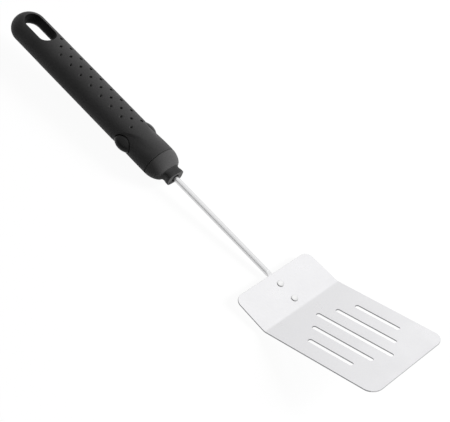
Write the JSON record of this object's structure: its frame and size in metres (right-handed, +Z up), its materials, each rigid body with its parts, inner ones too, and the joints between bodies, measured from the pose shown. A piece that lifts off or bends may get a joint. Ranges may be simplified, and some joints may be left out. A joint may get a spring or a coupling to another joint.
{
  "type": "barbecue spatula",
  "caption": "Long barbecue turner: slotted, bent steel blade riveted to a round steel shaft, with a black oval handle that pulls off when its side buttons are squeezed.",
  "frame": {"origin": "on the surface that the spatula lies on, under the middle of its box", "axes": "+X forward from handle to blade, +Y to the user's left, +Z up; the shaft drops 3.9 degrees towards the blade as it lies"},
  "size_m": [0.466, 0.09, 0.0406],
  "materials": {
    "blade_steel": "satin stainless sheet",
    "shaft_steel": "drawn stainless rod",
    "rivet_steel": "bright rivet",
    "nose_plastic": "fine matte mould texture",
    "grip_plastic": "fine matte mould texture",
    "button_plastic": "satin mould texture",
    "socket_plastic": "plain moulded",
    "spring_steel": "bright spring steel"
  },
  "bodies": {
    "handle": {"handle_grip": "grip_plastic", "socket_collar": "socket_plastic", "socket_cup": "socket_plastic", "latch_ring": "spring_steel"},
    "head": {"blade": "blade_steel", "shaft": "shaft_steel", "rivet_front": "rivet_steel", "rivet_rear": "rivet_steel", "nose_plug": "nose_plastic", "shaft_pin": "spring_steel"},
    "left_button": {"left_button": "button_plastic"},
    "right_button": {"right_button": "button_plastic"}
  },
  "joints": [
    {"name": "head_release", "type": "slide", "parent": "handle", "child": "head", "axis": [0.9977, 0, -0.068], "range_m": [0, 0.062], "deforming": ["latch_ring"]},
    {"name": "left_button_press", "type": "slide", "parent": "handle", "child": "left_button", "axis": [0, -1, 0], "range_m": [0, 0.002], "stiffness_N_per_m": 4000, "springref_m": -0.0005, "deforming": ["latch_ring"]},
    {"name": "right_button_press", "type": "slide", "parent": "handle", "child": "right_button", "axis": [0, 1, 0], "range_m": [0, 0.002], "stiffness_N_per_m": 4000, "springref_m": -0.0005, "deforming": ["latch_ring"]}
  ]
}
